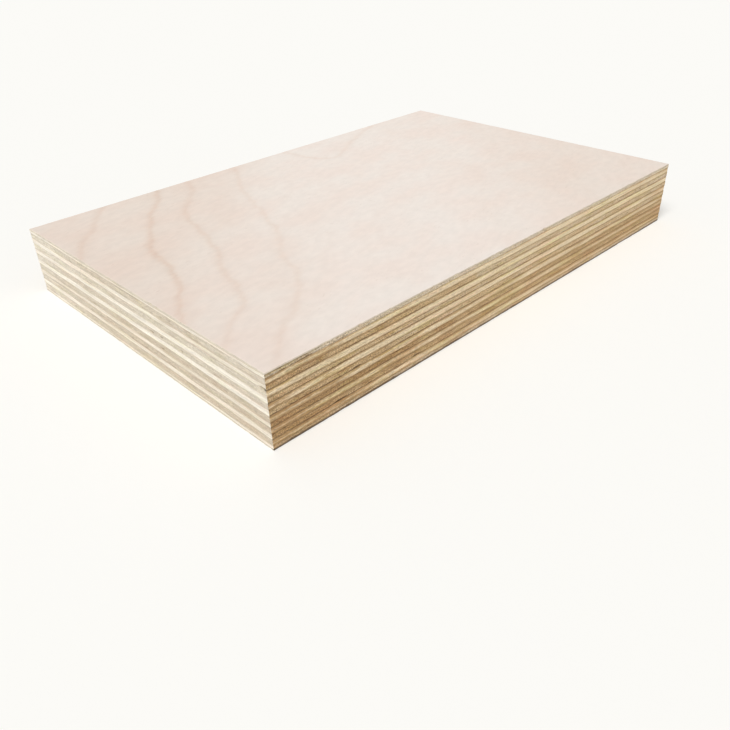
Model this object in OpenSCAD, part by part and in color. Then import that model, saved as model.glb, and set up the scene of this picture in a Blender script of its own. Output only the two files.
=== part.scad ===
// Plywood sheet cut to a small rectangle, lying flat on its back veneer.
// Peeled veneers are glued face to face, each with its grain across that of the next,
// and all four edges are sawn through the whole stack at once.
// The origin is the middle of the underside, with +X along the grain of the face and +Z up.

/* [Sheet] */
// Length of the sheet, along the grain of its face
sheet_l = 154; // [60:1:2440]
// Width of the sheet, across the grain of its face
sheet_w = 100; // [40:1:1220]
// Thickness of the finished sheet
sheet_t = 18; // [9:1:40]

/* [Plies] */
// Number of core plies between the face and the back, odd so that the sheet stays flat
core_plies = 13; // [3:2:25]
// Thickness of the face veneer and of the back veneer
face_t = 0.3; // [0.2:0.05:0.8]
// Thickness of the first and the last core ply, left by sanding the core to its gauge
outer_core_t = 0.85; // [0.5:0.05:1.5]

/* [Hidden] */
// Core plies that keep the full thickness of the peeled veneer
inner_plies = core_plies - 2;
// Height between the two sanded core plies, and the share of it that each inner ply takes
inner_t = sheet_t - 2 * (face_t + outer_core_t);
inner_ply_t = inner_t / inner_plies;

face_colour = "#ebdfd5";
long_colour = "#e6d3b0";
cross_colour = "#c2a679";
back_colour = "#e4d6c9";

// Core plies are counted down from the face: the odd ones lie across the face grain.
function is_cross(ply) = ply % 2 == 1;

function is_outer(ply) = ply == 1 || ply == core_plies;

function core_name(ply) =
    is_cross(ply) ? str("cross_ply_", (ply + 1) / 2) : str("long_ply_", ply / 2);

function core_t(ply) = is_outer(ply) ? outer_core_t : inner_ply_t;

// Underside of a core ply: the back and the last core ply lie below all the inner ones.
function core_base(ply) =
    ply == core_plies ? face_t
    : ply == 1 ? sheet_t - face_t - outer_core_t
    : face_t + outer_core_t + (core_plies - 1 - ply) * inner_ply_t;

// The rectangle that the saw leaves, shared by every ply.
module sawn_outline() {
    square([sheet_l, sheet_w], center = true);
}

// One flat veneer of the stack, from its underside up.
module veneer(base, thickness) {
    translate([0, 0, base])
        linear_extrude(thickness)
            sawn_outline();
}

module face_veneer() {
    color(face_colour)
        veneer(sheet_t - face_t, face_t);
}

module cross_ply(ply) {
    color(cross_colour)
        veneer(core_base(ply), core_t(ply));
}

module long_ply(ply) {
    color(long_colour)
        veneer(core_base(ply), core_t(ply));
}

module core_ply(ply) {
    if (is_cross(ply)) cross_ply(ply);
    else long_ply(ply);
}

module back_veneer() {
    color(back_colour)
        veneer(0, face_t);
}

face_veneer();
for (ply = [1 : core_plies])
    core_ply(ply);
back_veneer();
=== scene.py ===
"""Plywood sheet lying on a pale floor, made veneer by veneer.

Every ply is one closed surface worked out with numpy, in millimetres, and stored in metres.
Neighbouring plies share the height of the seam between them, so they meet without a gap.
"""

import math

import bpy
import numpy as np
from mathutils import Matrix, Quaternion, Vector


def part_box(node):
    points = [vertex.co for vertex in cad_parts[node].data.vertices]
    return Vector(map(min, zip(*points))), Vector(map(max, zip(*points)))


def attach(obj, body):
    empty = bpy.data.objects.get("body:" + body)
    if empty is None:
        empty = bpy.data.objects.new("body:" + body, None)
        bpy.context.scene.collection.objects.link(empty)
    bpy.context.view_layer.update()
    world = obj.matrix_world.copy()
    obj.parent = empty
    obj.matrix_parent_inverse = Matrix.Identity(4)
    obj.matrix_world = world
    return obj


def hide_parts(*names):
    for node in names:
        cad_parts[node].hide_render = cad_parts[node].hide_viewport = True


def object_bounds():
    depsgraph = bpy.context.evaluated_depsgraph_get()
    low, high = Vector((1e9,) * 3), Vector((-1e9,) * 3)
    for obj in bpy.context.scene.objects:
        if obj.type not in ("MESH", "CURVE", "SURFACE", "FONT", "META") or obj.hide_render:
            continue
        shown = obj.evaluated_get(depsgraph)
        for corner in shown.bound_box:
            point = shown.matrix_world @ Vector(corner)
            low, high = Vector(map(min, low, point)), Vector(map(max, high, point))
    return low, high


bl_info = {
    "name": "Plywood sheet",
    "version": (1, 0, 0),
    "blender": (4, 5, 0),
    "location": "3D View > Sidebar > Plywood",
    "description": "Builds a plywood sheet with sawn edges and a figured birch face",
    "category": "Mesh",
}

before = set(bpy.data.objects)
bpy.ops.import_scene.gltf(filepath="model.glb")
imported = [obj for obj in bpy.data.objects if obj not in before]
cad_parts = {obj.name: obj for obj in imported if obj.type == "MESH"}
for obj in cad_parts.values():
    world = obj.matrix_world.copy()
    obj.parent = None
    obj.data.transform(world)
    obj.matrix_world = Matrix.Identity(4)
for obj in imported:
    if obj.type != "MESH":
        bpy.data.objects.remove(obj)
CAD_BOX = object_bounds()

MM = 0.001
BODY = "root"

# Plies from the face down, by the height of their undersides in the frame.
PLIES = sorted(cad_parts, key=lambda name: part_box(name)[0].z, reverse=True)
FACE, BACK = PLIES[0], PLIES[-1]
CORE = PLIES[1:-1]
LENGTH, WIDTH, THICKNESS = ((high - low) / MM for low, high in zip(*CAD_BOX))

# Sides of the sheet in the order that the outline runs round it, and how far each is painted in shade,
# from the paler edge colours painted as lit on the left end to the browner ones painted as shaded on the
# long sides, with the right end a mix that leans to the shaded ones.
FRONT, RIGHT, REAR, LEFT = range(4)
SIDE_PAINTED_SHADE = np.array([1.0, 0.6, 1.0, 0.0])

# Width of the band along the sawn edge where the hidden side of a ply follows its seam, in millimetres.
HIDDEN_MARGIN = 1.5

# Angle between two faces from which their edge is drawn sharp.
SHARP_ANGLE = math.radians(50)

# Starting numbers of the random fields.
SEAM_SEED = 40
RIPPLE_SEED = 80
SAW_SEED = 7
SAW_FADE_SEED = 11
RELIEF_SEED = 200
TOAST_SEED = 520
ROUGH_SEED = 570
FACE_BLUSH_SEED = 610
BACK_BLUSH_SEED = 660
FACE_SEED = 900
BACK_SEED = 950

# Place of the camera from the near upper corner of the sheet, in millimetres, its turn from the length,
# its tilt down and its roll, in degrees, and the width of its sensor, in millimetres.
CAMERA_OFFSET = (-61.40, -91.28, 72.39)
CAMERA_TURN = 46.56
CAMERA_TILT = 33.30
CAMERA_ROLL = -2.08
SENSOR_WIDTH = 36.0

# Direction from the sheet to the key light.
KEY_DIRECTION = (-0.54, -0.20, 0.81)

# Growth rings that cross the face: how strongly each shows near the rear, in the middle and near the
# front, then the points it passes through, in millimetres from the left end and from the rear edge.
FACE_RINGS = (
    ((0.62, 0.62, 0.62), (
        (24, -3), (16, 7), (12, 13), (7, 18), (3, 23), (1, 28), (-4, 36))),
    ((0.95, 1.00, 0.78), (
        (41, -3), (37, 2), (33, 9), (27, 16), (22, 24), (18, 31), (15, 36), (13, 42), (12.5, 49),
        (10, 56), (6, 63), (2, 70), (-5, 80))),
    ((0.62, 0.80, 0.46), (
        (51, -3), (48, 2), (45, 9), (39.5, 15), (35, 21), (32, 28), (30, 34), (28, 41), (26, 48),
        (23, 54), (19.5, 61), (17, 69), (14, 75), (8, 80), (2, 86), (-5, 92))),
    ((0.56, 0.52, 0.48), (
        (67, -3), (65, 2), (61, 9), (57, 16), (54, 23), (51, 30), (49, 36), (46, 43), (43, 50),
        (39.5, 56), (35, 62), (33, 68), (31, 73), (26, 79), (20, 85), (14, 89), (9, 93), (2, 101))),
    ((0.54, 0.54, 0.54), (
        (86, -3), (87, 6), (89, 13), (93, 17), (97, 16), (103, 12), (110, 8), (121, 3), (133, -3))),
    ((0.06, 0.06, 0.06), (
        (121, 11), (101, 24), (88, 34), (78, 47), (67, 63), (54, 78), (36, 103))),
    ((0.14, 0.08, 0.03), (
        (158, 19), (139, 36), (122, 51), (105, 67), (89, 82), (72, 103))),
    ((0.09, 0.09, 0.09), (
        (160, 59), (143, 70), (127, 84), (112, 103))),
)

# How brown the veneer of each core ply is, from 0, or below 0 where it is paler and greyer, and how
# brown the sanded outer core plies are on the short edges.
PLY_TONES = {
    "cross_ply_1": -0.95, "long_ply_1": 0.30, "cross_ply_2": 0.10, "long_ply_2": -0.12,
    "cross_ply_3": -0.14, "long_ply_3": 0.08, "cross_ply_4": 0.05, "long_ply_4": 0.36,
    "cross_ply_5": 0.64, "long_ply_5": 0.44, "cross_ply_6": 0.54, "long_ply_6": 0.48,
    "cross_ply_7": -0.30,
}
OUTER_SHORT_TONE = 0.46

# How much browner or paler the plies turn along the front, by the share of the way from its left end,
# and how much of their brown they lose at the rear of the left end.
FRONT_LEAN = {
    "cross": (
        (0.0, 0.26), (0.12, 0.13), (0.30, -0.20), (0.50, -0.16), (0.70, -0.09), (0.90, -0.22),
        (1.0, -0.28)),
    "long": (
        (0.0, 0.26), (0.12, 0.13), (0.30, -0.07), (0.50, 0.03), (0.70, 0.04), (0.85, 0.17),
        (1.0, 0.34)),
}
REAR_FADE = {"cross": 0.5, "long": 1.2}

# Places where a core ply is patched from two veneers: the ply, the side it shows on, where the
# joint is along that side from the sheet's middle, and how brown it is before and after.
VENEER_JOINTS = (
    ("long_ply_1", FRONT, -50.0, 0.34, 0.10),
    ("cross_ply_2", FRONT, -15.5, 0.24, -0.22),
    ("cross_ply_4", FRONT, 32.0, 0.05, -0.05),
    ("cross_ply_5", FRONT, -35.0, 0.78, 0.66),
    ("long_ply_1", LEFT, -30.0, -0.15, 0.42),
    ("cross_ply_2", LEFT, -12.0, 0.60, 0.30),
    ("long_ply_3", LEFT, 13.0, 0.05, 0.30),
    ("long_ply_4", LEFT, -27.0, 0.95, 0.66),
    ("cross_ply_5", LEFT, 25.0, 0.64, 1.20),
    ("long_ply_5", LEFT, -34.0, 0.90, 0.58),
    ("long_ply_6", LEFT, 2.0, 0.78, 0.45),
    ("cross_ply_3", REAR, 27.0, 0.30, 0.65),
    ("long_ply_5", RIGHT, -19.0, 0.55, 0.30),
)

# Small open gaps and torn spots in the sawn edges: the ply, the side, the place along that side
# from the sheet's middle, the share of the ply's thickness where it lies, and its length, height
# and depth in millimetres.
EDGE_VOIDS = (
    ("long_ply_3", LEFT, -8.5, 0.24, 1.1, 0.36, 0.46),
    ("long_ply_3", LEFT, -12.5, 0.34, 0.7, 0.42, 0.45),
    ("long_ply_3", LEFT, -20.5, 0.28, 0.8, 0.34, 0.45),
    ("long_ply_4", LEFT, -12.0, 0.18, 0.9, 0.30, 0.34),
    ("long_ply_1", LEFT, -2.0, 0.88, 9.0, 0.24, 0.25),
    ("long_ply_1", LEFT, 17.0, 0.90, 5.0, 0.20, 0.17),
    ("cross_ply_2", LEFT, -49.2, 0.14, 2.2, 0.34, 0.40),
    ("long_ply_5", LEFT, -49.5, 0.94, 2.0, 0.40, 0.40),
    ("cross_ply_5", FRONT, -42.0, 0.86, 2.2, 0.22, 0.34),
    ("cross_ply_6", FRONT, -59.0, 0.12, 2.6, 0.24, 0.35),
    ("cross_ply_6", FRONT, -36.0, 0.14, 1.8, 0.24, 0.30),
    ("cross_ply_4", FRONT, -54.0, 0.16, 1.6, 0.22, 0.30),
    ("cross_ply_4", REAR, 21.0, 0.15, 2.4, 0.28, 0.40),
    ("cross_ply_6", REAR, -35.0, 0.85, 1.8, 0.25, 0.35),
    ("long_ply_2", RIGHT, 17.0, 0.20, 1.0, 0.40, 0.45),
    ("long_ply_5", RIGHT, -25.0, 0.80, 1.6, 0.35, 0.40),
)


def length_value(name, description, default, least=0):
    """Property for a length, given in millimetres and stored in metres."""
    return bpy.props.FloatProperty(
        name=name, description=description, default=default * MM, min=least * MM, unit="LENGTH", precision=5)


def colour_value(name, description, *default):
    """Property for a colour, given as red, green and blue."""
    return bpy.props.FloatVectorProperty(
        name=name, description=description, default=default, min=0, max=1, subtype="COLOR")


class SheetSizes(bpy.types.PropertyGroup):
    """Sizes of the relief that the saw, the press and the sander leave."""

    face_step: length_value("Face step", "Distance between neighbouring points on the face", 0.45, 0.2)
    back_step: length_value("Back step", "Distance between neighbouring points on the back", 0.60, 0.2)
    edge_step: length_value("Edge step", "Distance between neighbouring points along a sawn edge", 0.34, 0.2)
    edge_rows: bpy.props.IntProperty(
        name="Edge rows", description="Rows of faces through one core ply", default=12, min=4)
    seam_wave: length_value("Seam wave", "Height of the waves of the glued seams between the plies", 0.15)
    seam_groove: length_value("Seam groove", "Depth of the fine groove at the seams of a sawn edge", 0.035)
    fibre_depth: length_value("Fibre depth", "Depth of the grooves along the fibres of a sawn edge", 0.06)
    pore_depth: length_value("Pore depth", "Depth of the pits in the end grain of a sawn edge", 0.10)
    saw_depth: length_value("Saw mark depth", "Depth of the marks of the saw teeth", 0.014)
    saw_pitch: length_value("Saw mark pitch", "Distance between the marks of the saw teeth", 1.15, 0.1)
    arris: length_value("Arris", "Width that sanding takes off the sharp edge of the face", 0.10)
    back_arris: length_value("Back arris", "Width that the saw breaks off the sharp edge of the back", 0.14)
    chip_depth: length_value("Chip depth", "Depth of the small chips along the edge of the face", 0.26)
    back_chip_depth: length_value("Back chip depth", "Depth of the chips along the edge of the back", 0.09)
    rim_roughness: length_value("Rim roughness", "Unevenness of the sawn wall of the face and the back", 0.02)
    grain_relief: length_value("Grain relief", "Height of the grain on the sanded face", 0.006)
    grain_lean: bpy.props.FloatProperty(
        name="Grain lean", description="How far the grain of the face and the back turns off the length",
        default=math.radians(16), unit="ROTATION")


class SheetColours(bpy.types.PropertyGroup):
    """Colours of the veneers, where the saw and the sander show them."""

    face: colour_value("Face", "Sanded birch of the face", 0.858, 0.783, 0.718)
    back: colour_value("Back", "Sanded birch of the back", 0.830, 0.740, 0.660)
    blush: colour_value("Blush", "Pinker clouds in the birch", 0.792, 0.690, 0.606)
    cloud: colour_value("Cloud", "Tint of the small pinker clouds in the birch", 1.0, 0.957, 0.943)
    ring: colour_value("Growth ring", "Tint of the darkest line of a growth ring", 0.919, 0.845, 0.798)
    pore: colour_value("Pore", "Tint of the fine pores of the birch", 0.66, 0.57, 0.50)
    face_rim: colour_value("Face rim", "Thin sawn wall of the face on a long edge", 0.74, 0.64, 0.51)
    # The back rim's dark brown on the long sides is a painted contact shadow under the sheet.
    back_rim_painted_shadow: colour_value("Back rim", "Thin shade_painted wall of the back on a long edge", 0.17, 0.13, 0.09)
    # One wood in two copies: the long-edge colours are painted as in shade, the short-edge colours as lit.
    long_edge_fibre_shaded: colour_value(
        "Long edge, long grain", "Fibres lying along a long sawn edge", 0.940, 0.775, 0.525)
    long_edge_end_shaded: colour_value(
        "Long edge, end grain", "Fibres cut across on a long sawn edge", 0.690, 0.500, 0.280)
    short_edge_fibre_lit: colour_value(
        "Short edge, long grain", "Fibres lying along a short sawn edge", 0.930, 0.860, 0.738)
    short_edge_end_lit: colour_value(
        "Short edge, end grain", "Fibres cut across on a short sawn edge", 0.702, 0.628, 0.508)
    pale_veneer: colour_value(
        "Pale veneer", "End grain of veneer that is paler and greyer than the rest", 0.830, 0.706, 0.530)
    toast: colour_value("Toast", "Tint of veneer that is browner than the rest", 0.740, 0.640, 0.530)
    grit: colour_value("Grit", "Tint of the dark specks of rough end grain", 0.62, 0.52, 0.41)
    fleck: colour_value("Fleck", "Tint of the longer dark flecks in a sawn edge", 0.52, 0.41, 0.30)
    rust: colour_value("Rust", "Tint of the pinker patches of a sawn edge", 1.0, 0.905, 0.87)
    moss: colour_value("Moss", "Tint of the olive patches of a sawn edge", 0.955, 0.985, 0.82)
    glue: colour_value("Glue line", "Cured glue between the plies", 0.260, 0.160, 0.080)
    # Dark brown painted shade inside gaps, torn spots and nicks.
    void: colour_value("Void", "Inside of a small gap or nick in a sawn edge", 0.230, 0.165, 0.095)


class StageLook(bpy.types.PropertyGroup):
    """Floor, light and camera."""

    floor: colour_value("Floor", "Pale floor and backdrop", 0.974, 0.965, 0.931)
    bounce: colour_value("Bounce", "Colour of the light that the floor throws up", 0.885, 0.885, 0.89)
    reach: bpy.props.FloatProperty(
        name="Reach", description="Distance from the middle of the floor to its sides",
        default=6.0, min=1.0, unit="LENGTH")
    shade: bpy.props.FloatProperty(
        name="Shade", description="Share of the floor's light that the sheet can shade",
        default=0.85, min=0, max=1, subtype="FACTOR")
    key: bpy.props.FloatProperty(
        name="Key light", description="Strength of the soft light from the left", default=2.3, min=0)
    key_spread: bpy.props.FloatProperty(
        name="Key spread", description="How wide the key light looks from the sheet",
        default=math.radians(28), min=0, unit="ROTATION")
    sky: bpy.props.FloatProperty(
        name="Sky light", description="Strength of the even light from all round", default=0.40, min=0)
    lens: bpy.props.FloatProperty(
        name="Lens", description="Focal length in millimetres",
        default=35.87, min=1, unit="CAMERA")


# Random fields


def value_noise(u, v, seed):
    """Smooth random field from 0 to 1: seeded values on a square lattice of unit cells, blended
    between the four corners of a cell by the cubic step 3t squared minus 2t cubed."""
    cells = 128
    lattice = np.random.default_rng(seed).random((cells, cells))
    u, v = np.broadcast_arrays(u, v)
    iu, iv = np.floor(u).astype(int), np.floor(v).astype(int)
    tu, tv = u - iu, v - iv
    tu, tv = tu * tu * (3 - 2 * tu), tv * tv * (3 - 2 * tv)
    iu, iv = iu % cells, iv % cells
    ju, jv = (iu + 1) % cells, (iv + 1) % cells
    low = lattice[iu, iv] * (1 - tu) + lattice[ju, iv] * tu
    high = lattice[iu, jv] * (1 - tu) + lattice[ju, jv] * tu
    return low * (1 - tv) + high * tv


def layered_noise(u, v, seed, layers=3):
    """Sum of value noises from -1 to 1, each twice as fine and half as strong as the one before."""
    total = np.zeros(np.broadcast(u, v).shape)
    weight = 0.0
    for layer in range(layers):
        share = 0.5 ** layer
        total = total + share * (2 * value_noise(u * 2 ** layer, v * 2 ** layer, seed + layer) - 1)
        weight += share
    return total / weight


def smooth_step(low, high, value):
    """Rises from 0 at low to 1 at high along the cubic step."""
    t = np.clip((value - low) / (high - low), 0, 1)
    return t * t * (3 - 2 * t)


# Outline and seams


class Outline:
    """Points round the sheet, one column for each, counter-clockwise seen from above.

    place is the sawn rectangle, out points outwards (both ways at a corner), side says which
    side the stretch after the point belongs to, and along is the distance from the middle of
    that side, measured along the frame's X or Y axis.
    """

    def __init__(self, step):
        self.across = round(LENGTH / step)
        self.deep = round(WIDTH / step)
        x = np.linspace(-LENGTH / 2, LENGTH / 2, self.across + 1)
        y = np.linspace(-WIDTH / 2, WIDTH / 2, self.deep + 1)
        self.x, self.y = x, y
        bottom, top = (np.full(self.across, level) for level in (y[0], y[-1]))
        left, right = (np.full(self.deep, level) for level in (x[0], x[-1]))
        self.place = np.stack([
            np.concatenate([x[:-1], right, x[:0:-1], left]),
            np.concatenate([bottom, y[:-1], top, y[:0:-1]]),
        ], axis=1)
        counts = (self.across, self.deep, self.across, self.deep)
        self.side = np.repeat(np.arange(4), counts)
        out = np.array([(0, -1), (1, 0), (0, 1), (-1, 0)], float)
        before = np.roll(self.side, 1)
        at_corner = (self.side != before)[:, None]
        self.out = np.where(at_corner, out[self.side] + out[before], out[self.side])
        self.lengthwise = (self.side == FRONT) | (self.side == REAR)
        self.along = np.where(self.lengthwise, self.place[:, 0], self.place[:, 1])

    def __len__(self):
        return len(self.place)

    def unrolled(self, apart):
        """Distance along each side, shifted from one side to the next so that their patterns differ."""
        return self.along + apart * self.side

    def inset(self, depth):
        """Points that lie inside the outline by a depth: one for all, or one for each, in any rows."""
        return self.place - self.out * np.asarray(depth)[..., None]


def seam_height(seam, x, y, wave):
    """Height of the glued seam above ply number `seam` counted from the face: the flat seam of the
    frame plus slow waves and a finer ripple, weaker at the two outermost seams."""
    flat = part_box(PLIES[seam])[1].z / MM
    slow_length = 23
    ripple_length = 4.1
    ripple_share = 0.28
    outer_share = 0.35
    slow = layered_noise(x / slow_length + 3.7 * seam, y / slow_length - 1.9 * seam, SEAM_SEED + seam, 2)
    ripple = layered_noise(x / ripple_length, y / ripple_length, RIPPLE_SEED + seam, 2)
    strength = outer_share if seam in (1, len(PLIES) - 1) else 1.0
    return flat + wave * strength * (slow + ripple_share * ripple)


def shows_end_grain(ply, lengthwise):
    """True where the saw cut across the fibres: cross plies on long sides, the others on short ones."""
    return lengthwise if ply.startswith("cross") else ~lengthwise


# Sawn edges


def saw_marks(outline, height, sizes):
    """Depth of the tooth marks: leaning waves along the edge whose strength comes and goes."""
    pitch = sizes.saw_pitch / MM
    lean = 0.22
    wobble = 0.35
    wobble_length = 6
    fade_length = 9
    fade_height = 30
    along = outline.along[None, :] + lean * height
    phase = along / pitch + wobble * layered_noise(along / wobble_length, 0.0, SAW_SEED, 2)
    fade = value_noise(along / fade_length, height / fade_height, SAW_FADE_SEED)
    return sizes.saw_depth / MM * fade * (0.5 + 0.5 * np.sin(2 * math.pi * phase))


def edge_relief(ply, outline, height, through, sizes):
    """How far a sawn ply lies inside the flat cut, for each row and column of its wall.

    Long grain has shallow grooves drawn out along the edge, end grain has pits about as long as
    they are high. Both get the saw marks and a fine groove at the seams.
    """
    seed = RELIEF_SEED + 10 * PLIES.index(ply)
    fibre_length = 13
    tear_length = 7
    groove_share = 0.09
    along = outline.unrolled(40.0)[None, :]
    end = shows_end_grain(ply, outline.lengthwise)[None, :]
    fibre = 0.5 + 0.5 * layered_noise(along / fibre_length, height * 2.6, seed, 3)
    torn = smooth_step(0.72, 0.95, value_noise(along / tear_length, height * 1.9, seed + 4))
    long_grain = sizes.fibre_depth / MM * (0.7 * fibre + 1.2 * torn)
    rough = 0.5 + 0.5 * layered_noise(along * 0.9, height * 2.2, seed + 5, 3)
    pit = smooth_step(0.70, 0.93, value_noise(along * 1.05, height * 2.4, seed + 8))
    end_grain = sizes.pore_depth / MM * (0.35 + 0.55 * rough + 0.9 * pit)
    near_seam = 1 - smooth_step(0, groove_share, np.minimum(through, 1 - through))
    groove = sizes.seam_groove / MM * near_seam
    return np.where(end, end_grain, long_grain) + groove + saw_marks(outline, height, sizes)


def edge_voids(ply, outline, height, through):
    """Depth of the listed voids: hollows that fall off as e to the power of minus 2.5 times the cube of
    the distance from their middles, which is measured in their own lengths and heights."""
    depth = np.zeros(height.shape)
    for name, side, place, share, span, rise, deep in EDGE_VOIDS:
        if name == ply:
            reach = ((outline.along[None, :] - place) / span) ** 2
            level = ((through - share) * (height[-1] - height[0]).mean() / rise) ** 2
            hollow = deep * np.exp(-2.5 * (reach + level) ** 1.5)
            depth = depth + np.where(outline.side[None, :] == side, hollow, 0)
    return depth


def cut_roughness(outline):
    """How rough the saw left the edge: most at the left of the front, where the cut began, falling to
    well under half of that past the middle, and middling on the other sides, with slow changes."""
    least = 0.38
    elsewhere = 0.60
    cloud_length = 21
    run = outline.along / LENGTH + 0.5
    front = least + (1 - least) * (1 - smooth_step(0.08, 0.62, run))
    along = outline.unrolled(300.0)
    cloud = 0.18 * layered_noise(along / cloud_length, 0.5, ROUGH_SEED, 3)
    return np.clip(np.where(outline.side == FRONT, front, elsewhere) + cloud, 0.2, 1.2)


def edge_toast(ply, outline):
    """How brown each ply is along the sheet's edge: a tone of its own, slow clouds, a sudden change at a
    joint between two veneers, the lean that is listed for the front, and a fade to paler towards the
    rear of the left end. The sanded outer core plies have one tone on the short edges and a weaker one
    along the rear."""
    cloud_length = 27
    rear_share = 0.4
    along = outline.unrolled(300.0)
    seed = TOAST_SEED + PLIES.index(ply)
    cloud = 0.28 * layered_noise(along / cloud_length, 0.5, seed, 4)
    tone = np.full(len(outline), PLY_TONES[ply])
    for name, side, place, before, after in VENEER_JOINTS:
        if name == ply:
            joined = before + (after - before) * smooth_step(-1, 1, outline.along - place)
            tone = np.where(outline.side == side, joined, tone)
    kind = "long" if ply.startswith("long") else "cross"
    front_lean = np.interp(outline.along / LENGTH + 0.5, *zip(*FRONT_LEAN[kind]))
    rear_lean = -REAR_FADE[kind] * smooth_step(0.62, 1.05, outline.along / WIDTH + 0.5)
    lean = np.select([outline.side == FRONT, outline.side == LEFT], [front_lean, rear_lean], 0.0)
    if ply in (CORE[0], CORE[-1]):
        tone = np.where(outline.lengthwise, tone, OUTER_SHORT_TONE)
        tone = np.where(outline.side == REAR, rear_share * tone, tone)
    return np.clip(tone + cloud + lean, -1, 1)


# Meshes


def ring_faces(lower, upper):
    """Quads between two closed rings of vertex numbers, facing outwards where upper lies above
    lower on a wall that runs counter-clockwise."""
    return np.stack([lower, np.roll(lower, -1), np.roll(upper, -1), upper], axis=1)


def fan_faces(pole, ring, upwards):
    """Triangles from a ring to the vertex in its middle."""
    after = np.roll(ring, -1)
    middle = np.full(len(ring), pole)
    return np.stack([ring, after, middle] if upwards else [middle, after, ring], axis=1)


def closed_mesh(name, points, faces, point_values, face_values):
    """Makes a mesh object from points in millimetres, face arrays, and named values on both."""
    mesh = bpy.data.meshes.new(name)
    mesh.from_pydata((points * MM).tolist(), [], [f for block in faces for f in block.tolist()])
    mesh.polygons.foreach_set("use_smooth", np.ones(len(mesh.polygons), bool))
    for domain, values in (("POINT", point_values), ("FACE", face_values)):
        for key, array in values.items():
            layer = mesh.attributes.new(key, "FLOAT", domain)
            layer.data.foreach_set("value", np.asarray(array, np.float32))
    mesh.validate()
    mesh.set_sharp_from_angle(angle=SHARP_ANGLE)
    mesh.update()
    piece = bpy.data.objects.new(name, mesh)
    bpy.context.scene.collection.objects.link(piece)
    return piece


def ply_values(rows):
    """Values for all points of a core ply, row by row, with 0 at the two poles."""
    return np.append(np.ravel(rows), (0, 0))


def core_ply_surface(ply, sizes):
    """One core ply as a profile carried round the sheet's outline.

    The profile starts in the middle of the underside, runs out to the sawn edge, climbs it in
    rows that crowd towards the two seams (half of one minus the cosine of equal turns), and runs
    back to the middle of the top. The wall lies inside the flat cut by the relief of the edge.
    """
    outline = Outline(sizes.edge_step / MM)
    count = len(outline)
    seam = PLIES.index(ply)
    x, y = outline.place.T
    wave = sizes.seam_wave / MM
    top = seam_height(seam, x, y, wave)
    base = seam_height(seam + 1, x, y, wave)
    turns = np.linspace(0, math.pi, sizes.edge_rows + 1)
    through = ((1 - np.cos(turns)) / 2)[:, None]
    height = base + (top - base) * through
    voids = edge_voids(ply, outline, height, through)
    depth = edge_relief(ply, outline, height, through, sizes) + voids
    inner = outline.inset(HIDDEN_MARGIN)
    rings = np.stack([inner, *outline.inset(depth), inner])
    levels = np.stack([base, *height, top])
    points = np.dstack([rings, levels]).reshape(-1, 3)
    poles = np.array([(0, 0, base.mean()), (0, 0, top.mean())])
    numbers = np.arange(len(points)).reshape(len(levels), count)
    faces = [ring_faces(low, high) for low, high in zip(numbers, numbers[1:])]
    faces.append(fan_faces(len(points), numbers[0], False))
    faces.append(fan_faces(len(points) + 1, numbers[-1], True))

    gap = np.minimum(through, 1 - through) * (top - base)
    below_cross = np.broadcast_to(1 - through if ply.startswith("cross") else through, height.shape)
    zeros = np.zeros(count)
    point_values = {
        "glue_gap": ply_values([zeros, *gap, zeros]),
        "below_cross": ply_values([below_cross[0], *below_cross, below_cross[-1]]),
        "toast": ply_values([edge_toast(ply, outline)] * len(levels)),
        "void_depth": ply_values([zeros, *voids, zeros]),
        "rough": ply_values([cut_roughness(outline)] * len(levels)),
    }
    face_values = {
        "end_grain": np.tile(shows_end_grain(ply, outline.lengthwise), len(faces)),
        "painted_side_shade": np.tile(SIDE_PAINTED_SHADE[outline.side], len(faces)),
    }
    return closed_mesh("sawn_" + ply, np.concatenate([points, poles]), faces, point_values, face_values)


def smooth_path(points, samples=60):
    """Points along a curve through the given ones: each pair of neighbours is joined by a cubic whose
    slopes are half the step between the points on either side."""
    p = np.asarray(points, float)
    slope = np.gradient(p, axis=0)
    t = np.linspace(0, 1, samples // (len(p) - 1) + 2)[:-1, None]
    a, b, ma, mb = p[:-1, None], p[1:, None], slope[:-1, None], slope[1:, None]
    curve = ((2 * t ** 3 - 3 * t ** 2 + 1) * a + (t ** 3 - 2 * t ** 2 + t) * ma
             + (3 * t ** 2 - 2 * t ** 3) * b + (t ** 3 - t ** 2) * mb)
    return np.concatenate([curve.reshape(-1, 2), p[-1:]])


def line_offset(x, y, path):
    """Signed distance to a line of short straight steps: the least distance to any step, positive on the
    right of a line that runs towards the front."""
    best = np.full(x.shape, np.inf)
    signed = np.zeros(x.shape)
    for (ax, ay), (bx, by) in zip(path, path[1:]):
        dx, dy = bx - ax, by - ay
        px, py = x - ax, y - ay
        share = np.clip((px * dx + py * dy) / (dx * dx + dy * dy), 0, 1)
        distance = np.hypot(px - share * dx, py - share * dy)
        closer = distance < best
        best = np.where(closer, distance, best)
        signed = np.where(closer, np.copysign(distance, px * dy - py * dx), signed)
    return signed


def ring_tone(x, y, rings, seed):
    """How dark the growth rings make each point: for each ring a narrow bell with a broad foot, by the
    distance from its line, as strong as the ring shows at that distance from the rear edge. The distance
    to the line wanders a little, more finely across the grain than along it."""
    left_width = 1.02
    right_width = 0.72
    foot_width = 2.3
    bell_share = 0.72
    foot_share = 0.20
    slow = 0.75 * layered_noise(x / 7, y / 4, seed, 2)
    wander = slow + 0.50 * layered_noise(x / 3, y / 0.9, seed + 3, 2)
    patchy = 0.95 + 0.18 * layered_noise(x / 13, y / 13, seed + 5, 2)
    tone = np.zeros(x.shape)
    for strengths, points in rings:
        shown = np.interp(y / WIDTH, (0.15, 0.45, 0.80), strengths)
        offset = line_offset(x, y, smooth_path(points)) + wander
        width = np.where(offset < 0, left_width, right_width)
        bell = np.exp(-(offset / width) ** 2)
        foot = np.exp(-(offset / foot_width) ** 2)
        tone += shown * (bell_share * bell + foot_share * foot)
    return np.clip(tone * patchy, 0, 1.3)


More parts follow.
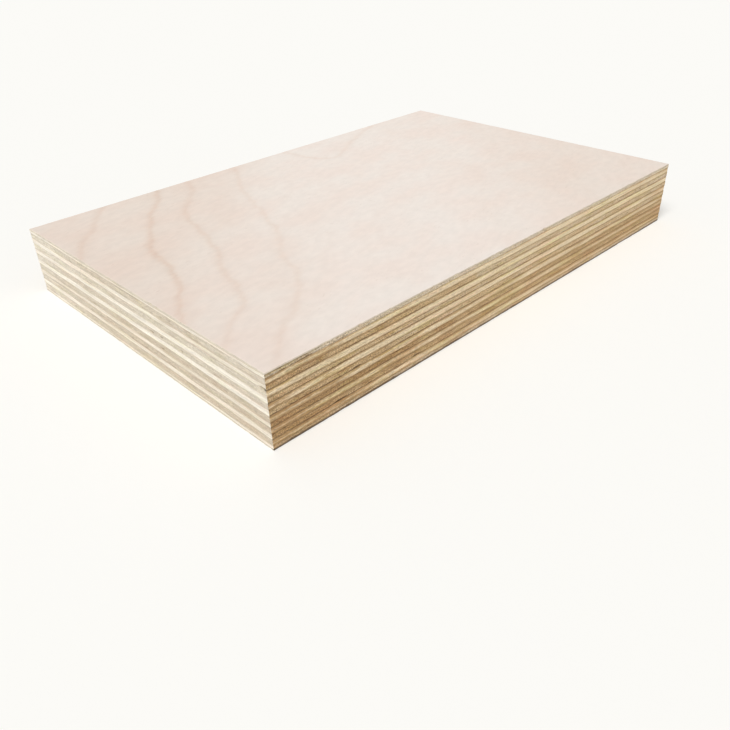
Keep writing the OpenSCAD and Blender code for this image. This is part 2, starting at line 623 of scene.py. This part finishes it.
def face_blush(x, y):
    """How pink the face is: more before and after a pale band that lies across it aslant, like the
    rings, with clouds drawn out along the band."""
    slant = x + 0.75 * y
    paling = (38, 100)
    reddening = (135, 205)
    cloud = layered_noise((0.83 * y - 0.55 * x) / 42, (0.83 * x + 0.55 * y) / 10, FACE_BLUSH_SEED, 3)
    band = 1 - smooth_step(*paling, slant) + 0.75 * smooth_step(*reddening, slant)
    return np.clip(band + 0.24 * cloud, 0, 1)


def back_blush(x, y):
    """How pink the back is: slow clouds drawn out along the rings."""
    along, across = (0.83 * y - 0.38 * x) / 40, (0.83 * x - 0.38 * y) / 14
    return 0.5 + 0.5 * layered_noise(along, across, BACK_BLUSH_SEED, 3)


def back_rings():
    """Growth rings of the back: slanting lines, one every 15 to 20 mm, each with a slow bend."""
    rings = []
    for number in range(11):
        start = 17.5 * number - 8 + 4 * math.sin(2.1 * number)
        run = np.linspace(-4, WIDTH + 4, 8)
        bend = 5 * np.sin(run / 21 + 0.6 * number) + 0.0016 * run ** 2
        shown = 0.55 + 0.35 * math.sin(1.7 * number)
        rings.append(([shown] * 3, np.stack([start + 0.38 * run + bend, run], axis=1)))
    return rings


def arris_chips(outline, depth, seed):
    """Depth of the small chips along the edge of a thin veneer: rare peaks of a fine random line."""
    small_length = 0.9
    large_length = 2.3
    along = outline.unrolled(400.0)
    small = smooth_step(0.80, 0.97, value_noise(along / small_length, 0.0, seed))
    large = smooth_step(0.90, 0.99, value_noise(along / large_length, 0.0, seed + 1))
    return depth * (0.55 * small + large)


def grain_waves(x, y, lean, seed):
    """Height of the sanded grain from 0 to 1: a random field drawn out along a line that turns off X
    by the lean."""
    wave_length = 3.2
    waves_per_mm = 1.1
    along = x * math.cos(lean) + y * math.sin(lean)
    across = y * math.cos(lean) - x * math.sin(lean)
    return 0.5 + 0.5 * layered_noise(along / wave_length, across * waves_per_mm, seed, 2)


def thin_veneer_surface(ply, sizes, rings, blush, seed):
    """The face or the back: a fine grid over the sanded side, a thin sawn wall, and a hidden side.

    The grid's height is the sheet's surface less a grain relief that is drawn out along the grain and
    dips a little at the growth rings. The wall rounds over by the arris and has small chips.
    The back is worked out like a face and then turned over in height.
    """
    is_face = ply == FACE
    outline = Outline((sizes.face_step if is_face else sizes.back_step) / MM)
    count = len(outline)
    outer = THICKNESS if is_face else 0.0
    inward = -1 if is_face else 1
    seam = 1 if is_face else len(PLIES) - 1
    hidden = seam_height(seam, *outline.place.T, sizes.seam_wave / MM)
    arris = (sizes.arris if is_face else sizes.back_arris) / MM
    chip_depth = (sizes.chip_depth if is_face else sizes.back_chip_depth) / MM
    chips = arris_chips(outline, chip_depth, seed)
    rough_length = 0.8
    rough = sizes.rim_roughness / MM * (1 + layered_noise(outline.along / rough_length, 0.0, seed + 5))
    rise = np.minimum(arris, 0.8 * np.abs(hidden - outer))

    # The sanded side, with its rim drawn in by the arris
    columns, rows = outline.across + 1, outline.deep + 1
    gx, gy = np.meshgrid(outline.x, outline.y)
    from_left, from_rear = gx + LENGTH / 2, WIDTH / 2 - gy
    tone = ring_tone(from_left, from_rear, rings, seed + 20)
    grain = grain_waves(gx, gy, sizes.grain_lean, seed + 9)
    grid_z = outer + inward * sizes.grain_relief / MM * (0.6 * grain + 0.8 * tone)
    flat = np.dstack([gx, gy, grid_z]).reshape(-1, 3)
    numbers = np.arange(rows * columns).reshape(rows, columns)
    rim = np.concatenate([numbers[0, :-1], numbers[:-1, -1], numbers[-1, :0:-1], numbers[:0:-1, 0]])
    flat[rim, :2] = outline.inset(arris + 0.6 * chips + rough)
    flat[rim, 2] = outer + inward * 0.05 * rise

    # The wall, by the shares of the arris, the chips and the rise at each of its rings
    arris_shares = np.array([0.45, 0.12, 0.0])[:, None]
    chip_shares = np.array([0.90, 1.0, 1.0])[:, None]
    rise_shares = np.array([0.25, 0.60, 1.0])[:, None]
    pull = arris_shares * arris + chip_shares * chips + rough
    walls = outline.inset(pull)
    levels = outer + inward * rise_shares * rise
    walls = np.stack([*walls, walls[-1], outline.inset(HIDDEN_MARGIN)])
    levels = np.stack([*levels, hidden, hidden])
    ring_points = np.dstack([walls, levels]).reshape(-1, 3)
    pole = np.array([(0, 0, hidden.mean())])
    points = np.concatenate([flat, ring_points, pole])

    ring_numbers = len(flat) + np.arange(len(ring_points)).reshape(-1, count)
    chain = [rim, *ring_numbers]
    corners = [numbers[:-1, :-1], numbers[:-1, 1:], numbers[1:, 1:], numbers[1:, :-1]]
    faces = [np.dstack(corners).reshape(-1, 4)]
    faces += [ring_faces(low, high) for high, low in zip(chain, chain[1:])]
    faces.append(fan_faces(len(points) - 1, chain[-1], False))
    if not is_face:
        faces = [block[:, ::-1] for block in faces]

    spare = np.zeros(len(points) - len(flat))
    on_grid = np.zeros(len(faces[0]))
    walled = len(faces) - 1
    point_values = {
        "ring_tone": np.append(tone.ravel(), spare),
        "blush": np.append(blush(from_left, from_rear).ravel(), spare),
    }
    face_values = {
        "on_wall": np.append(on_grid, np.ones(count * walled)),
        "painted_side_shade": np.append(on_grid, np.tile(SIDE_PAINTED_SHADE[outline.side], walled)),
    }
    return closed_mesh("sanded_" + ply, points, faces, point_values, face_values)


# Materials


class Nodes:
    """The node tree of a material or a world, and short ways to add nodes to it."""

    def __init__(self, owner):
        owner.use_nodes = True
        self.tree = owner.node_tree

    def node(self, kind, inputs=(), **settings):
        """Adds a node, sets its properties, and links or sets its inputs by name or number."""
        made = self.tree.nodes.new(kind)
        for key, value in settings.items():
            setattr(made, key, value)
        for key, value in dict(inputs).items():
            self.feed(made.inputs[key], value)
        return made

    def feed(self, socket, value):
        """Links a socket to another, or sets its value."""
        if isinstance(value, bpy.types.NodeSocket):
            self.tree.links.new(value, socket)
        elif socket.type == "RGBA" and len(value) == 3:
            socket.default_value = (*value, 1)
        else:
            socket.default_value = value

    def choose_by_ray(self, other, seen, output):
        """Shows one shader to rays from the camera, also by way of a gloss or a clear surface, and another
        to all other rays."""
        path = self.node("ShaderNodeLightPath").outputs
        ray = path["Is Camera Ray"]
        for name in ("Is Glossy Ray", "Is Transmission Ray"):
            ray = self.node("ShaderNodeMath", {0: ray, 1: path[name]}, operation="MAXIMUM").outputs[0]
        choice = self.node("ShaderNodeMixShader", {0: ray, 1: other.outputs[0], 2: seen.outputs[0]})
        self.feed(self.tree.nodes[output].inputs["Surface"], choice.outputs[0])


class Shader(Nodes):
    """A new material with a Principled surface, and short ways to work out its colour."""

    def __init__(self, name, roughness, specular):
        self.material = bpy.data.materials.new(name)
        super().__init__(self.material)
        self.surface = self.tree.nodes["Principled BSDF"]
        self.feed(self.surface.inputs["Roughness"], roughness)
        self.feed(self.surface.inputs["Specular IOR Level"], specular)
        self.place = self.node("ShaderNodeTexCoord").outputs["Object"]

    def turn(self, angle):
        """Turns all patterns that are added later about Z by an angle."""
        inputs = {"Vector": self.place, "Angle": -angle}
        self.place = self.node("ShaderNodeVectorRotate", inputs, rotation_type="Z_AXIS").outputs[0]

    def noise(self, per_mm, detail=2.0, roughness=0.5):
        """Random clouds with so many cells to the millimetre along X, Y and Z."""
        scale = {0: self.place, 1: [cells / MM for cells in per_mm]}
        place = self.node("ShaderNodeVectorMath", scale, operation="MULTIPLY").outputs[0]
        inputs = {"Vector": place, "Scale": 1.0, "Detail": detail, "Roughness": roughness}
        return self.node("ShaderNodeTexNoise", inputs).outputs[0]

    def value(self, name):
        """One of the values that the mesh carries."""
        return self.node("ShaderNodeAttribute", attribute_name=name).outputs["Fac"]

    def math(self, operation, *values):
        """One arithmetic step."""
        return self.node("ShaderNodeMath", dict(enumerate(values)), operation=operation).outputs[0]

    def times(self, product, *others):
        """Product of two or more values."""
        for other in others:
            product = self.math("MULTIPLY", product, other)
        return product

    def plus(self, first, second):
        """Sum of two values."""
        return self.math("ADD", first, second)

    def minus(self, first, second):
        """Difference of two values."""
        return self.math("SUBTRACT", first, second)

    def ramp(self, value, low, high, start=0.0, end=1.0):
        """Smooth rise from start at low to end at high."""
        inputs = {"Value": value, "From Min": low, "From Max": high, "To Min": start, "To Max": end}
        return self.node("ShaderNodeMapRange", inputs, interpolation_type="SMOOTHSTEP").outputs[0]

    def mix(self, factor, a, b, blend="MIX"):
        """Blend of two colours."""
        inputs = {0: factor, 6: a, 7: b}
        return self.node("ShaderNodeMix", inputs, data_type="RGBA", blend_type=blend).outputs[2]

    def stain(self, share, colour, tint):
        """A colour multiplied by a tint, as far as the share goes."""
        return self.mix(share, colour, tint, "MULTIPLY")

    def tinted(self, colour, light):
        """A colour made lighter or darker by a factor."""
        grey = self.node("ShaderNodeCombineColor", {0: light, 1: light, 2: light}).outputs[0]
        return self.stain(1.0, colour, grey)

    def finish(self, colour, height, depth, roughness=None):
        """Feeds the surface its colour, its bump of the given depth in millimetres, and its roughness."""
        bump = self.node("ShaderNodeBump", {"Strength": 1.0, "Distance": depth * MM, "Height": height})
        self.feed(self.surface.inputs["Base Color"], colour)
        self.feed(self.surface.inputs["Normal"], bump.outputs[0])
        if roughness is not None:
            self.feed(self.surface.inputs["Roughness"], roughness)
        return self.material


def along_x(along, around, radial):
    """Pattern cells to the millimetre for fibres that lie along X."""
    return along, around, radial


def along_y(along, around, radial):
    """Pattern cells to the millimetre for fibres that lie along Y."""
    return around, along, radial


def core_material(name, lie, cells, colours):
    """Sawn core veneer: fibres as a solid pattern that is long one way, so that a cut along them shows
    streaks and a cut across them shows specks. Long grain darkens softly towards its seams, end grain
    has a ragged dark line of glue beside them, stronger below it, and voids get painted shade inside,
    darker as they go deeper. Pinker and olive patches come and go. The left end gets paler colours
    painted as lit and the long sides browner ones painted as shaded, with less brown, pale veneer, grit,
    flecks, patches and glue on the lit end. cells is the number of specks to the millimetre along an edge
    of end grain. Distances from the seam, and depths, are in millimetres."""
    seam_fade = (0.02, 0.27)
    brown_creep = 0.34
    glue_place = 0.11
    glue_fade = (0.05, 0.25)
    void_fade = (0.06, 0.34)
    bump_depth = 0.12
    s = Shader(name, roughness=0.80, specular=0.22)
    end = s.value("end_grain")
    painted_side_shade = s.value("painted_side_shade")
    rough = s.value("rough")
    streak = s.noise(lie(0.11, 0.40, 3.4), 4.0, 0.66)
    speck = s.noise(lie(0.70, 1.6 * cells, 3.0), 3.0, 0.78)
    crumb = s.noise(lie(0.90, 3.2 * cells, 4.2), 2.0, 0.70)
    fleck = s.noise(lie(0.12, 0.70, 3.0), 2.0, 0.60)
    rust = s.noise(lie(0.06, 0.10, 0.9), 3.0, 0.60)
    moss = s.noise(lie(0.08, 0.13, 1.0), 3.0, 0.60)
    blotch = s.noise(lie(0.09, 0.16, 0.8), 3.0, 0.62)
    come_and_go = s.noise((0.16, 0.16, 0.9), 3.0, 0.65)

    # How brown or pale the veneer is
    patch = s.times(s.ramp(blotch, 0.25, 0.75, -0.42, 0.42), rough)
    toast = s.plus(s.value("toast"), patch)
    # The left end, painted as lit, keeps less of its brown, its pale veneer and its grit.
    brown = s.times(s.ramp(toast, 0.0, 1.0), s.ramp(painted_side_shade, 0.0, 1.0, 0.36, 1.0))
    shaded_side_share = s.ramp(painted_side_shade, 0.0, 1.0, 0.45, 1.0)
    pale = s.times(s.ramp(toast, -1.0, 0.0, 1.0, 0.0), end, shaded_side_share)

    # Long grain that darkens towards its seams, and end grain
    tear = s.times(s.minus(speck, 0.5), s.ramp(rough, 0.2, 1.2, 0.40, 1.10))
    ragged = s.plus(s.value("glue_gap"), tear)
    core = s.ramp(s.minus(ragged, s.times(brown, brown_creep)), *seam_fade)
    whole = s.times(s.minus(1.0, end), core)
    # Paler edge colours painted as lit on the left end, browner ones painted as shaded on the long sides.
    short_edge = s.mix(whole, colours.short_edge_end_lit, colours.short_edge_fibre_lit)
    long_edge = s.mix(whole, colours.long_edge_end_shaded, colours.long_edge_fibre_shaded)
    colour = s.mix(painted_side_shade, short_edge, long_edge)
    colour = s.mix(pale, colour, s.mix(painted_side_shade, colours.short_edge_fibre_lit, colours.pale_veneer))
    colour = s.stain(brown, colour, colours.toast)
    colour = s.tinted(colour, s.ramp(streak, 0.22, 0.78, 0.80, 1.17))

    # Crumbs, specks and flecks
    grain = s.times(rough, s.ramp(end, 0.0, 1.0, 0.56, 1.0), shaded_side_share)
    crumbs = s.times(grain, s.ramp(crumb, 0.28, 0.72, 0.42, -0.42))
    colour = s.tinted(colour, s.plus(1.0, crumbs))
    colour = s.stain(s.times(s.ramp(speck, 0.50, 0.68), grain, 0.95), colour, colours.grit)
    dark = s.times(s.ramp(fleck, 0.58, 0.72), s.ramp(end, 0.0, 1.0, 0.25, 0.70))
    dark = s.times(dark, s.ramp(painted_side_shade, 0.0, 1.0, 0.40, 1.0))
    colour = s.stain(dark, colour, colours.fleck)

    # Pinker and olive patches
    patchy = s.ramp(painted_side_shade, 0.3, 1.0, 0.45, 0.9)
    colour = s.stain(s.times(s.ramp(rust, 0.48, 0.66), patchy), colour, colours.rust)
    colour = s.stain(s.times(s.ramp(moss, 0.48, 0.66), patchy), colour, colours.moss)

    # Lines of glue, then painted shade inside the voids, darker where they go deeper
    away = s.math("ABSOLUTE", s.minus(ragged, s.times(end, glue_place)))
    stronger_below = s.ramp(s.value("below_cross"), 0.35, 0.65, 0.60, 1.0)
    on_long = s.times(s.ramp(come_and_go, 0.36, 0.62, 0.55, 1.1), stronger_below)
    on_long = s.times(on_long, s.ramp(rough, 0.2, 1.0, 0.62, 1.0))
    on_short = s.ramp(come_and_go, 0.56, 0.70, 0.06, 0.50)
    shown = s.plus(s.times(on_long, painted_side_shade), s.times(on_short, s.minus(1.0, painted_side_shade)))
    line = s.times(s.ramp(away, *glue_fade, 1.0, 0.0), shown, s.ramp(end, 0.0, 1.0, 0.25, 1.0))
    line = s.times(line, s.ramp(pale, 0.3, 0.9, 1.0, 0.35))
    colour = s.mix(line, colour, colours.glue)
    torn = s.times(s.value("void_depth"), s.plus(1.0, s.times(tear, 1.5)))
    colour = s.mix(s.ramp(torn, *void_fade, 0.0, 0.62), colour, colours.void)

    height = s.minus(s.plus(streak, s.times(crumb, grain)), s.plus(dark, line))
    return s.finish(colour, height, bump_depth)


def birch_material(name, base, rim_colour, colours, lean):
    """Sanded birch: soft growth rings, pinker clouds, a faint mottle, and fine pores drawn out along the
    grain, with a soft sheen. The thin sawn wall takes the rim colour on the long sides, which on the back
    is a dark painted contact shadow, and the paler edge colour painted as lit on the short ones, with dark
    spots of painted shade in its nicks."""
    bump_depth = 0.006
    s = Shader(name, roughness=0.52, specular=0.35)
    s.turn(lean)
    on_wall = s.value("on_wall")
    fibre = s.noise((0.36, 1.1, 1.0), 2.0, 0.5)
    mottle = s.noise((0.31, 0.50, 1.0), 3.0, 0.54)
    hue = s.noise((0.055, 0.085, 1.0), 2.0, 0.5)
    pore = s.ramp(s.noise((0.55, 2.6, 1.0), 1.0), 0.64, 0.76)
    pore = s.times(pore, s.ramp(s.noise((0.06, 0.10, 1.0), 2.0), 0.46, 0.66))

    colour = s.mix(s.value("blush"), base, colours.blush)
    colour = s.stain(s.ramp(hue, 0.30, 0.70, 1.0, 0.0), colour, colours.cloud)
    light = s.times(s.ramp(fibre, 0.25, 0.75, 0.994, 1.005), s.ramp(mottle, 0.25, 0.75, 0.971, 1.025))
    colour = s.tinted(colour, light)
    feathered = s.times(s.value("ring_tone"), s.ramp(fibre, 0.30, 0.70, 0.75, 1.20))
    colour = s.stain(feathered, colour, colours.ring)
    colour = s.stain(s.times(pore, 0.30), colour, colours.pore)

    # Rim: the paler copy painted as lit on the short edges; on the long ones the rim colour, on the back a
    # painted contact shadow.
    rim = s.mix(s.value("painted_side_shade"), colours.short_edge_end_lit, rim_colour)
    rim = s.tinted(rim, s.ramp(s.noise((0.40, 0.40, 5.0), 3.0, 0.65), 0.28, 0.72, 0.80, 1.10))
    # Dark spots of painted shade in small nicks of the rim.
    painted_nick_shade = s.ramp(s.noise((0.45, 0.45, 4.0), 3.0, 0.70), 0.60, 0.74, 0.0, 0.65)
    rim = s.mix(painted_nick_shade, rim, colours.void)
    colour = s.mix(on_wall, colour, rim)

    height = s.minus(s.plus(fibre, s.times(mottle, 0.5)), pore)
    roughness = s.plus(s.ramp(fibre, 0.2, 0.8, 0.60, 0.50), s.times(on_wall, 0.2))
    return s.finish(colour, height, bump_depth, roughness)


def stand_for(piece, ply, material):
    """Gives a finished piece its material, and lets it stand for the ply of the frame."""
    piece.data.materials.append(material)
    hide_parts(ply)
    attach(piece, BODY)


# Stage


def lay_floor(scene, stage):
    """Pale floor: a grid of four points. Seen rays find a share of even pale colour and a share that the
    sheet can shade; other rays find a matt floor."""
    side = np.linspace(-stage.reach, stage.reach, 2)
    x, y = np.meshgrid(side, side)
    points = np.stack([x.ravel(), y.ravel(), np.zeros(x.size)], axis=1)
    mesh = bpy.data.meshes.new("floor")
    mesh.from_pydata(points.tolist(), [], [(0, 1, 3, 2)])
    floor = bpy.data.objects.new("floor", mesh)
    scene.collection.objects.link(floor)
    material = bpy.data.materials.new("pale floor")
    nodes = Nodes(material)
    nodes.tree.nodes.remove(nodes.tree.nodes["Principled BSDF"])
    even = nodes.node("ShaderNodeEmission", {"Color": stage.floor, "Strength": 1 - stage.shade})
    shaded = nodes.node("ShaderNodeBsdfDiffuse", {"Color": [stage.shade * part for part in stage.floor]})
    seen = nodes.node("ShaderNodeAddShader", {0: even.outputs[0], 1: shaded.outputs[0]})
    matt = nodes.node("ShaderNodeBsdfDiffuse", {"Color": stage.bounce})
    nodes.choose_by_ray(matt, seen, "Material Output")
    mesh.materials.append(material)


def light_sky(scene, stage):
    """Even light from all round, seen as the floor's own colour."""
    world = bpy.data.worlds.new("sky")
    scene.world = world
    nodes = Nodes(world)
    lit = nodes.tree.nodes["Background"]
    nodes.feed(lit.inputs["Color"], (1, 1, 1))
    nodes.feed(lit.inputs["Strength"], stage.sky)
    seen = nodes.node("ShaderNodeBackground", {"Color": stage.floor})
    nodes.choose_by_ray(lit, seen, "World Output")


def hang_key_light(scene, stage):
    """Broad soft light from the left and a little from the front."""
    lamp = bpy.data.lights.new("key light", "SUN")
    lamp.energy = stage.key
    lamp.angle = stage.key_spread
    key = bpy.data.objects.new("key light", lamp)
    towards = Vector(KEY_DIRECTION)
    key.rotation_mode = "QUATERNION"
    key.rotation_quaternion = towards.to_track_quat("Z", "Y")
    key.location = towards
    scene.collection.objects.link(key)


def place_camera(scene, stage):
    """Camera at the photograph's place: off the near corner, turned, tilted down and rolled a little."""
    near_corner = Vector((CAD_BOX[0].x, CAD_BOX[0].y, CAD_BOX[1].z))
    turn, tilt, roll = (math.radians(angle) for angle in (CAMERA_TURN, CAMERA_TILT, CAMERA_ROLL))
    level = math.cos(tilt)
    ahead = Vector((math.cos(turn) * level, math.sin(turn) * level, -math.sin(tilt)))
    data = bpy.data.cameras.new("camera")
    data.sensor_width = SENSOR_WIDTH
    data.lens = stage.lens
    data.clip_start = MM
    data.clip_end = 20
    camera = bpy.data.objects.new("camera", data)
    camera.rotation_mode = "QUATERNION"
    camera.rotation_quaternion = ahead.to_track_quat("-Z", "Y") @ Quaternion((0, 0, 1), roll)
    camera.location = near_corner + Vector(CAMERA_OFFSET) * MM
    scene.collection.objects.link(camera)
    scene.camera = camera


# Operators


class BuildFace(bpy.types.Operator):
    """Make the sanded face veneer with its growth rings"""

    bl_idname = "plywood.build_face"
    bl_label = "Face veneer"

    def execute(self, context):
        look = context.scene.plywood_colours
        sizes = context.scene.plywood_sizes
        piece = thin_veneer_surface(FACE, sizes, FACE_RINGS, face_blush, FACE_SEED)
        birch = birch_material("face birch", look.face, look.face_rim, look, sizes.grain_lean)
        stand_for(piece, FACE, birch)
        return {"FINISHED"}


class BuildCore(bpy.types.Operator):
    """Make the core plies with their sawn edges"""

    bl_idname = "plywood.build_core"
    bl_label = "Core plies"

    def execute(self, context):
        look = context.scene.plywood_colours
        cross = core_material("cross ply veneer", along_y, cells=0.80, colours=look)
        lengthwise = core_material("long ply veneer", along_x, cells=0.55, colours=look)
        for ply in CORE:
            piece = core_ply_surface(ply, context.scene.plywood_sizes)
            if ply.startswith("cross"):
                stand_for(piece, ply, cross)
            else:
                stand_for(piece, ply, lengthwise)
        return {"FINISHED"}


class BuildBack(bpy.types.Operator):
    """Make the back veneer that the sheet lies on"""

    bl_idname = "plywood.build_back"
    bl_label = "Back veneer"

    def execute(self, context):
        look = context.scene.plywood_colours
        sizes = context.scene.plywood_sizes
        piece = thin_veneer_surface(BACK, sizes, back_rings(), back_blush, BACK_SEED)
        birch = birch_material("back birch", look.back, look.back_rim_painted_shadow, look, sizes.grain_lean)
        stand_for(piece, BACK, birch)
        return {"FINISHED"}


class BuildStage(bpy.types.Operator):
    """Set the floor, the light and the camera"""

    bl_idname = "plywood.build_stage"
    bl_label = "Stage"

    def execute(self, context):
        scene = context.scene
        stage = scene.plywood_stage
        lay_floor(scene, stage)
        light_sky(scene, stage)
        hang_key_light(scene, stage)
        place_camera(scene, stage)
        scene.view_settings.view_transform = "Standard"
        return {"FINISHED"}


STEPS = (BuildFace, BuildCore, BuildBack, BuildStage)


# Panel


class PlywoodPanel(bpy.types.Panel):
    """Sizes, colours and steps of the plywood sheet"""

    bl_idname = "VIEW3D_PT_plywood"
    bl_label = "Plywood sheet"
    bl_space_type = "VIEW_3D"
    bl_region_type = "UI"
    bl_category = "Plywood"

    def draw(self, context):
        for name in GROUPS:
            group = getattr(context.scene, name)
            box = self.layout.box()
            for key in group.__annotations__:
                box.prop(group, key)
        for step in STEPS:
            self.layout.operator(step.bl_idname)


GROUPS = {"plywood_sizes": SheetSizes, "plywood_colours": SheetColours, "plywood_stage": StageLook}
CLASSES = (*GROUPS.values(), *STEPS, PlywoodPanel)


def register():
    for part in CLASSES:
        bpy.utils.register_class(part)
    for name, group in GROUPS.items():
        setattr(bpy.types.Scene, name, bpy.props.PointerProperty(type=group))


def unregister():
    for name in GROUPS:
        delattr(bpy.types.Scene, name)
    for part in reversed(CLASSES):
        bpy.utils.unregister_class(part)


def main():
    """Builds the sheet and its stage."""
    register()
    bpy.ops.plywood.build_face()
    bpy.ops.plywood.build_core()
    bpy.ops.plywood.build_back()
    bpy.ops.plywood.build_stage()


if __name__ == "__main__":
    main()
